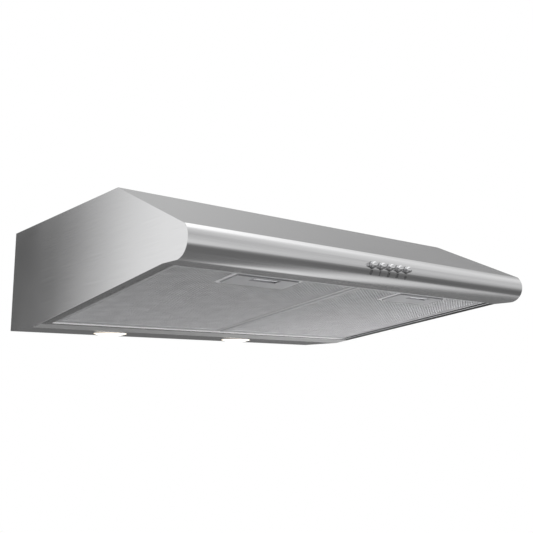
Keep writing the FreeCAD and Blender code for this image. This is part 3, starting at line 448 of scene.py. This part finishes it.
def braided(name):
    """A woven sleeve: two crossed wave patterns."""
    material, tree, shader = new_material(name)
    waves = []
    for scale in ((700, 700, 700), (700, -700, 700)):
        wave = tree.nodes.new("ShaderNodeTexWave")
        wave.bands_direction = "DIAGONAL"
        wave.inputs["Scale"].default_value = 0.3
        tree.links.new(coordinates(tree, scale), wave.inputs["Vector"])
        waves.append(wave.outputs["Fac"])
    weave = math_node(tree, "MULTIPLY", waves[0], waves[1])
    blend_colour(tree, weave, (0.02, 0.02, 0.02), (0.09, 0.09, 0.09), shader.inputs["Base Color"])
    tree.links.new(map_range(tree, weave, 0, 1, 0.5, 0.75), shader.inputs["Roughness"])
    bump(tree, shader, weave, 0.4, 0.0003)
    return material


def lamp_glass(name, strength):
    """Frosted cover glass, lit warm white from behind, dimmer towards its rim."""
    material, tree, shader = new_material(name)
    generated = tree.nodes.new("ShaderNodeTexCoord").outputs["Generated"]
    split = tree.nodes.new("ShaderNodeSeparateXYZ")
    tree.links.new(generated, split.inputs[0])
    squares = []
    for place in split.outputs[:2]:
        from_middle = math_node(tree, "MULTIPLY", math_node(tree, "SUBTRACT", place, 0.5), 2.0)
        squares.append(math_node(tree, "POWER", math_node(tree, "ABSOLUTE", from_middle, 0.0), 2.0))
    radius = math_node(tree, "SQRT", math_node(tree, "ADD", squares[0], squares[1]), 0.0)
    rim = map_range(tree, radius, 0.72, 1.0, 0, 1, "SMOOTHSTEP")
    blend_colour(tree, rim, (1.0, 0.96, 0.88), (0.72, 0.58, 0.40), shader.inputs["Emission Color"])
    frost = noise(tree, coordinates(tree, (1, 1, 1)), 800.0, 2)
    blend_colour(tree, frost, (0.95, 0.93, 0.88), (1.0, 0.99, 0.95), shader.inputs["Base Color"])
    tree.links.new(map_range(tree, frost, 0.3, 0.7, 0.2, 0.35), shader.inputs["Roughness"])
    shader.inputs["Emission Strength"].default_value = strength
    bump(tree, shader, frost, 0.05, 0.0001)
    return material


def make_materials():
    steel_dark, steel_light = (0.625, 0.625, 0.63), (0.675, 0.675, 0.68)
    return {
        "brushed_stainless": brushed_steel("stainless_along_front", 0, steel_dark, steel_light, 0.16, 0.22),
        "side_stainless": brushed_steel(
            "stainless_along_side", 1, steel_dark, steel_light, 0.10, 0.12, 0.12,
        ),
        "galvanised_steel": galvanised("galvanised_sheet"),
        "filter_aluminium": plain_metal(
            "filter_aluminium", (0.52, 0.52, 0.53), (0.60, 0.60, 0.61), 0.40, metallic=0.6,
        ),
        "filter_frame": plain_metal(
            "frame_aluminium", (0.42, 0.42, 0.43), (0.48, 0.48, 0.49), 0.36, metallic=0.75,
        ),
        # The core's layers: a dark copy of the aluminium, painted shade inside the filter
        "core_aluminium_painted_shade": plain_metal(
            "core_aluminium_painted_shade", (0.18, 0.18, 0.18), (0.26, 0.26, 0.26), 0.5, metallic=0.8,
        ),
        # The bottom flanges: darker copies of the side stainless, painted shade; the right one darker still and
        # dull at grazing angles (edge), deeper painted shade
        "flange_left": brushed_steel(
            "stainless_left_flange_painted_shade", 1, (0.40, 0.40, 0.405), (0.46, 0.46, 0.465), 0.24, 0.32,
        ),
        "flange_right": brushed_steel(
            "stainless_right_flange_painted_deep_shade", 1, (0.27, 0.27, 0.273), (0.33, 0.33, 0.333), 0.24, 0.32, edge=0.3,
        ),
        # The lip's front face in near white, barely metallic: a painted highlight along the lip, over the gap by
        # the filters' rear rim that lies in shade
        "painted_highlight_lip": plain_metal("painted_highlight_lip", (0.82, 0.82, 0.82), (0.88, 0.88, 0.88), 0.42, metallic=0.3),
        # A darker copy of the steel on the lamp panel's lower strip: painted shade
        "painted_shade_strip": plain_metal(
            "painted_shade_strip", (0.37, 0.37, 0.37), (0.43, 0.43, 0.43), 0.36, metallic=0.7,
        ),
        "latch_plate_aluminium": plain_metal(
            "pressed_aluminium", (0.36, 0.36, 0.37), (0.42, 0.42, 0.43), 0.38, metallic=0.7,
        ),
        "latch_plastic": plastic("latch_plastic", (0.40, 0.40, 0.41), (0.46, 0.46, 0.47), 0.45),
        "spring_steel": plain_metal("spring_wire", (0.45, 0.45, 0.46), (0.58, 0.58, 0.60), 0.28),
        "chrome_trim": plain_metal("chrome", (0.58, 0.58, 0.59), (0.66, 0.66, 0.67), 0.10, 1500.0, 0.02),
        "lamp_glass": lamp_glass("lit_glass", 1.0),
        "lamp_reflector": plain_metal("reflector", (0.78, 0.78, 0.78), (0.88, 0.88, 0.88), 0.22),
        "black_plastic": plastic("black_plastic", (0.022, 0.022, 0.023), (0.04, 0.04, 0.042), 0.42),
        "grey_plastic": plastic("grey_plastic", (0.25, 0.26, 0.27), (0.31, 0.32, 0.33), 0.46),
        "motor_steel": plain_metal("motor_pressing", (0.36, 0.37, 0.39), (0.48, 0.49, 0.52), 0.34),
        "bush_bronze": plain_metal("bronze", (0.52, 0.35, 0.16), (0.66, 0.47, 0.24), 0.35),
        "copper_winding": windings("winding"),
        "mount_rubber": plastic("rubber", (0.018, 0.018, 0.018), (0.03, 0.03, 0.03), 0.75, 700.0, 0.3),
        "capacitor_white": plastic("white_plastic", (0.74, 0.74, 0.71), (0.80, 0.80, 0.77), 0.28),
        "loom_sleeve": braided("braided_sleeve"),
        "zinc_screws": plain_metal("zinc", (0.58, 0.57, 0.54), (0.72, 0.71, 0.68), 0.25),
    }


def dress(obj, material):
    obj.data.materials.clear()
    obj.data.materials.append(material)


def dress_cad_nodes(materials):
    slots = {s["node"]: s["material_slot"] for s in frame["record"]["subparts"]}
    for name, obj in frame["nodes"].items():
        slot = slots[name]
        if name.endswith("_side_panel"):
            slot = "side_stainless"
        if name.startswith("filter_frame"):
            slot = "filter_frame"
        dress(obj, materials[slot])
    _, forward, upward = underside_frame()
    # Painted shade on the flanges and the strip, and a painted highlight on the lip's front face, go on here
    for side in ("left", "right"):
        dress_faces(side + "_side_panel", materials["flange_" + side], -upward, FLANGE_AHEAD)
    dress_faces("lamp_panel", materials["painted_shade_strip"], -upward, LIP_AHEAD)
    dress_faces("lamp_panel", materials["painted_highlight_lip"], forward, LIP_AHEAD)


def dress_faces(node, material, facing, limits):
    """Gives the faces that look one way, between two distances from the hinge, another material."""
    start, end = limits
    origin, forward, _ = underside_frame()
    mesh = frame["nodes"][node].data
    mesh.materials.append(material)
    for face in mesh.polygons:
        ahead = (face.center - origin).dot(forward)
        if face.normal.dot(facing) > SAME_FACING and start < ahead < end:
            face.material_index = len(mesh.materials) - 1


# ---------------------------------------------------------------- filter mesh

def underside_frame():
    """A point on the filters' plane, the direction along it to the front, and its upward normal."""
    hinge = next(j for j in frame["joints"] if j["name"] == "filter_left_tilt")
    pull = next(j for j in frame["joints"] if j["name"] == "latch_left_pull")
    forward = -Vector(pull["axis"]).normalized()
    upward = Vector((0, -forward.z, forward.y))
    if upward.z < 0:
        upward = -upward
    return Vector(hinge["pos_m"]), forward, upward


def in_plane(node):
    """The node's limits across, along the underside and above the hinge line, from its vertices."""
    origin, forward, upward = underside_frame()
    spots = [v.co - origin for v in frame["nodes"][node].data.vertices]
    across = [s.x for s in spots]
    ahead = [s.dot(forward) for s in spots]
    above = [s.dot(upward) for s in spots]
    return (min(across), max(across)), (min(ahead), max(ahead)), (min(above), max(above))


def add_slab(build, x, v, n):
    """A flat box in filter coordinates."""
    corners = {}
    for i in (0, 1):
        for j in (0, 1):
            for k in (0, 1):
                corners[i, j, k] = build.verts.new((x[i], v[j], n[k]))
    made = []
    for axis in range(3):
        for side in (0, 1):
            face = [c for c in sorted(corners) if c[axis] == side]
            face = [face[0], face[1], face[3], face[2]]
            made.append(build.faces.new([corners[c] for c in face]))
    bmesh.ops.recalc_face_normals(build, faces=made)
    return made


def add_diamond(build, shared, centre, pitch, hole, levels, relief):
    """One diamond of expanded metal: four strands round a hole, twisted out of the sheet.

    Neighbours share their corners. A second level gives the strands inner walls.
    """
    outline = ((-1, 0, relief), (0, -1, -relief), (1, 0, relief), (0, 1, -relief))
    layers = []
    for level in levels:
        ring, inner = [], []
        for across, ahead, lift in outline:
            x, v = centre[0] + across * pitch[0] / 2, centre[1] + ahead * pitch[1] / 2
            key = (round(x / MM, 3), round(v / MM, 3), level)
            if key not in shared:
                shared[key] = build.verts.new((x, v, level + lift))
            ring.append(shared[key])
            x, v = centre[0] + across * pitch[0] / 2 * hole, centre[1] + ahead * pitch[1] / 2 * hole
            inner.append(build.verts.new((x, v, level + lift * HOLE_LIFT + ahead * relief)))
        layers.append((ring, inner))
    for n in range(4):
        after = (n + 1) % 4
        ring, inner = layers[0]
        build.faces.new((inner[n], inner[after], ring[after], ring[n]))
        if len(layers) > 1:
            high = layers[1][1]
            build.faces.new((inner[n], inner[after], high[after], high[n]))


def cut_plane(build, place, normal, clear):
    """Cuts the mesh at a plane, and clears what lies beyond it if asked."""
    everything = build.verts[:] + build.edges[:] + build.faces[:]
    bmesh.ops.bisect_plane(build, geom=everything, plane_co=place, plane_no=normal, clear_outer=clear)


def cut_window(build, x, v):
    """Removes the mesh where the latch plate sits: between two lines across, and ahead of a third."""
    cut_plane(build, (x[0], 0, 0), (1, 0, 0), False)
    cut_plane(build, (x[1], 0, 0), (1, 0, 0), False)
    cut_plane(build, (0, v, 0), (0, 1, 0), False)
    inside = []
    for face in build.faces:
        middle = face.calc_center_median()
        if x[0] < middle.x < x[1] and middle.y > v:
            inside.append(face)
    bmesh.ops.delete(build, geom=inside, context="FACES")


def lattice(name, across, ahead, levels, pitch, hole, relief, window, border=0.0):
    """Expanded metal between limits, with a window for the latch plate and a flat border."""
    build = bmesh.new()
    shared = {}
    columns = int((across[1] - across[0]) / pitch[0]) + 2
    rows = int((ahead[1] - ahead[0]) / (pitch[1] / 2)) + 3
    for row in range(rows):
        for column in range(columns):
            x = across[0] + (column + 0.5 * (row % 2)) * pitch[0]
            centre = (x, ahead[0] + row * pitch[1] / 2)
            add_diamond(build, shared, centre, pitch, hole, levels, relief)
    window_x, window_v = window
    cut_plane(build, (across[0] + border, 0, 0), (-1, 0, 0), True)
    cut_plane(build, (across[1] - border, 0, 0), (1, 0, 0), True)
    cut_plane(build, (0, ahead[0] + border, 0), (0, -1, 0), True)
    cut_plane(build, (0, ahead[1] - border, 0), (0, 1, 0), True)
    cut_window(build, (window_x[0] - border, window_x[1] + border), window_v - border)
    bmesh.ops.recalc_face_normals(build, faces=build.faces[:])
    if border:
        inner_x = (across[0] + border, across[1] - border)
        strips = (
            ((across[0], inner_x[0]), ahead),
            ((inner_x[1], across[1]), ahead),
            (inner_x, (ahead[0], ahead[0] + border)),
            ((inner_x[0], window_x[0]), (ahead[1] - border, ahead[1])),
            ((window_x[1], inner_x[1]), (ahead[1] - border, ahead[1])),
            ((window_x[0] - border, window_x[0]), (window_v - border, ahead[1] - border)),
            ((window_x[1], window_x[1] + border), (window_v - border, ahead[1] - border)),
            (window_x, (window_v - border, window_v)),
        )
        for strip_x, strip_v in strips:
            for strip_face in add_slab(build, strip_x, strip_v, levels):
                strip_face.material_index = 1
    origin, forward, upward = underside_frame()
    for vertex in build.verts:
        x, v, n = vertex.co
        vertex.co = Vector((x, origin.y, origin.z)) + forward * v + upward * n
    return mesh_object(name, build)


def make_filter_mesh(side, materials):
    """The face lattice in place of the plain face sheet, and two darker layers over it, painted shade inside the
    filter.
    """
    body = "filter_" + side
    across, ahead, above = in_plane("filter_face_mesh_" + side)
    plate_across, plate_ahead, _ = in_plane("latch_plate_" + side)
    window_x = (plate_across[0] + PLATE_OVERLAP, plate_across[1] - PLATE_OVERLAP)
    window = (window_x, plate_ahead[0] + PLATE_OVERLAP)
    levels = (above[0], above[0] + FACE_THICKNESS)
    pitch = (PITCH_ACROSS, PITCH_ALONG)
    name = "face_mesh_" + side
    face = lattice(name, across, ahead, levels, pitch, FACE_HOLE, FACE_RELIEF, window, PRESSED_BORDER)
    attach(face, body)
    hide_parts("filter_face_mesh_" + side)
    dress(face, materials["filter_aluminium"])
    face.data.materials.append(materials["filter_frame"])
    _, _, core = in_plane("filter_core_mesh_" + side)
    for number, (share, pitch_across, pitch_along, hole) in enumerate(CORE_LAYERS):
        name = f"core_mesh_{number + 1}_{side}"
        height = core[0] + (core[1] - core[0]) * share
        pitch = (pitch_across * MM, pitch_along * MM)
        layer = lattice(name, across, ahead, (height,), pitch, hole, CORE_RELIEF, window)
        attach(layer, body)
        dress(layer, materials["core_aluminium_painted_shade"])


# ---------------------------------------------------------------- lamps

def turned(name, profile, centre, sides=96):
    """A solid of revolution about the upright axis through the centre, from (radius, height) points."""
    build = bmesh.new()
    rings = []
    for radius, height in profile:
        if radius == 0:
            rings.append([build.verts.new((centre.x, centre.y, height))])
            continue
        angles = [2 * math.pi * n / sides for n in range(sides)]
        spots = [(centre.x + radius * math.cos(a), centre.y + radius * math.sin(a)) for a in angles]
        rings.append([build.verts.new((*spot, height)) for spot in spots])
    for low, high in zip(rings, rings[1:]):
        for n in range(sides):
            after = (n + 1) % sides
            corners = [low[n % len(low)], low[after % len(low)]]
            corners += [high[after % len(high)], high[n % len(high)]]
            build.faces.new(list(dict.fromkeys(corners)))
    bmesh.ops.recalc_face_normals(build, faces=build.faces[:])
    obj = mesh_object(name, build)
    obj.data.shade_smooth()
    return obj


def make_lens(side, materials):
    """A shallow glass cap that snaps over the bezel, with a neck that reaches up through it."""
    node = "lamp_lens_" + side
    low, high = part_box(node)
    bezel_low, bezel_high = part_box("lamp_bezel_" + side)
    centre = (low + high) / 2
    neck = (high.x - low.x) / 2 - NECK_GAP
    rim = (bezel_high.x - bezel_low.x) / 2 - RIM_INSET
    base = bezel_low.z + GLASS_GAP
    profile = [(0, high.z), (neck / 2, high.z), (neck - NECK_CHAMFER, high.z), (neck, high.z - NECK_CHAMFER)]
    profile += [(neck, base), (rim - RIM_CHAMFER, base), (rim, base - RIM_CHAMFER)]
    for n in range(1, CAP_STEPS + 1):
        share = 1 - n / CAP_STEPS
        profile.append((rim * share, base - RIM_CHAMFER - GLASS_DROP * (1 - share * share)))
    lens = turned("glass_" + side, profile, centre)
    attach(lens, "canopy")
    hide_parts(node)
    dress(lens, materials["lamp_glass"])


# ---------------------------------------------------------------- springs

def make_spring(name, node, body, middle, material):
    """A copy of one coil, cut from the CAD mesh round its middle, in place of the CAD coil."""
    build = bmesh.new()
    build.from_mesh(frame["nodes"][node].data)
    others = [v for v in build.verts if abs(v.co.x - middle) > SPRING_REACH]
    bmesh.ops.delete(build, geom=others, context="VERTS")
    coil = mesh_object(name, build)
    dress(coil, material)
    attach(coil, body)
    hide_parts(node)
    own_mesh(coil)


def make_springs(materials):
    steel = materials["spring_steel"]
    for name in BUTTONS:
        middle = middle_x("button_" + name)
        make_spring("spring_" + name, "button_springs", "canopy", middle, steel)
    for side in ("left", "right"):
        node = "latch_spring_" + side
        make_spring("return_" + node, node, "filter_" + side, middle_x(node), steel)


# ---------------------------------------------------------------- button marks

def wrap_on_nose(point, centre, radius):
    """Bends a flat mark, drawn in x and height, round the nose."""
    angle = point.y / radius
    reach = radius + point.z
    return Vector((point.x, centre.y - reach * math.cos(angle), centre.z + reach * math.sin(angle)))


def bar_places():
    """The bars of a seven-bar figure and of a plain 1: left, low, right and high."""
    wide, tall, stroke = FIGURE_WIDE, FIGURE_TALL, FIGURE_STROKE
    half = tall / 2
    return {
        "low": (-wide / 2, 0, wide / 2, stroke),
        "middle": (-wide / 2, half - stroke / 2, wide / 2, half + stroke / 2),
        "top": (-wide / 2, tall - stroke, wide / 2, tall),
        "low_left": (-wide / 2, 0, -wide / 2 + stroke, half),
        "low_right": (wide / 2 - stroke, 0, wide / 2, half),
        "top_left": (-wide / 2, half, -wide / 2 + stroke, tall),
        "top_right": (wide / 2 - stroke, half, wide / 2, tall),
        "stem": (-stroke * 0.6, 0, stroke * 0.6, tall),
        "flag": (-stroke * 1.3, tall - 1.3 * stroke, 0, tall - 0.4 * stroke),
    }


def draw_number(bars):
    """A number made of bars, drawn flat, each in steps so that it can bend round the nose."""
    build = bmesh.new()
    places = bar_places()
    for bar in bars:
        left, low, right, high = places[bar]
        for n in range(BAR_STEPS):
            start = low + (high - low) * n / BAR_STEPS
            end = low + (high - low) * (n + 1) / BAR_STEPS
            add_slab(build, (left, right), (start, end), (-MARK_HALF_THICKNESS, MARK_HALF_THICKNESS))
    bmesh.ops.remove_doubles(build, verts=build.verts[:], dist=WELD_DISTANCE)
    return build


def place_mark(button, build, centre, material):
    """Wraps a flat mark on the nose below its button."""
    foot = NOSE_RADIUS * math.radians(MARK_ANGLE)
    shift = Vector((middle_x(button) + MARK_SHIFT, foot, MARK_HALF_THICKNESS))
    for vertex in build.verts:
        vertex.co = wrap_on_nose(vertex.co + shift, centre, NOSE_RADIUS)
    mark = mesh_object(button.replace("button", "mark"), build)
    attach(mark, "canopy")
    dress(mark, material)


def circle(middle, radius):
    angles = [2 * math.pi * n / RING_SIDES for n in range(RING_SIDES)]
    return [middle + Vector((math.cos(a), math.sin(a), 0)) * radius for a in angles]


def raised(build, points, level):
    """New vertices over flat points."""
    return [build.verts.new(p + Vector((0, 0, level))) for p in points]


def add_ring(build, points_in, points_out):
    """A flat ring with a little thickness, between two outlines."""
    low_in = raised(build, points_in, -MARK_HALF_THICKNESS)
    low_out = raised(build, points_out, -MARK_HALF_THICKNESS)
    high_in = raised(build, points_in, MARK_HALF_THICKNESS)
    high_out = raised(build, points_out, MARK_HALF_THICKNESS)
    count = len(points_in)
    for n in range(count):
        after = (n + 1) % count
        build.faces.new((high_in[n], high_out[n], high_out[after], high_in[after]))
        build.faces.new((low_in[after], low_out[after], low_out[n], low_in[n]))
        build.faces.new((low_out[n], low_out[after], high_out[after], high_out[n]))
        build.faces.new((high_in[n], high_in[after], low_in[after], low_in[n]))


def add_plate(build, points):
    """A flat plate with a little thickness, inside one outline."""
    low = raised(build, points, -MARK_HALF_THICKNESS)
    high = raised(build, points, MARK_HALF_THICKNESS)
    build.faces.new(high)
    build.faces.new(low[::-1])
    for n in range(len(points)):
        after = (n + 1) % len(points)
        build.faces.new((low[n], low[after], high[after], high[n]))


def lamp_symbol():
    """A ring with short rays round it, drawn flat."""
    build = bmesh.new()
    middle = Vector((0, RING_HEIGHT, 0))
    add_ring(build, circle(middle, RING_RADII[0]), circle(middle, RING_RADII[1]))
    for n in range(RAYS):
        angle = 2 * math.pi * n / RAYS
        out = Vector((math.cos(angle), math.sin(angle), 0))
        side = Vector((-out.y, out.x, 0)) * RAY_HALF_WIDTH
        near, far = middle + out * RAY_REACH[0], middle + out * RAY_REACH[1]
        add_plate(build, [near - side, far - side, far + side, near + side])
    return build


def make_button_marks(materials):
    low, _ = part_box("front_fascia")
    centre = Vector((0, low.y + NOSE_RADIUS, low.z + NOSE_RADIUS))
    figures = {
        "button_off": ("low", "top", "low_left", "low_right", "top_left", "top_right"),
        "button_speed_1": ("stem", "flag"),
        "button_speed_2": ("low", "middle", "top", "low_left", "top_right"),
        "button_speed_3": ("low", "middle", "top", "low_right", "top_right"),
    }
    for button, bars in figures.items():
        place_mark(button, draw_number(bars), centre, materials["black_plastic"])
    place_mark("button_lamp", lamp_symbol(), centre, materials["black_plastic"])


# ---------------------------------------------------------------- build


bpy.context.scene.view_settings.view_transform = "Standard"
make_camera()
make_world()
for light_row in AREA_LIGHTS:
    make_area(*light_row)
make_floor()
looks = make_materials()
dress_cad_nodes(looks)
for side_name in ("left", "right"):
    make_filter_mesh(side_name, looks)
    make_lens(side_name, looks)
make_springs(looks)
make_button_marks(looks)
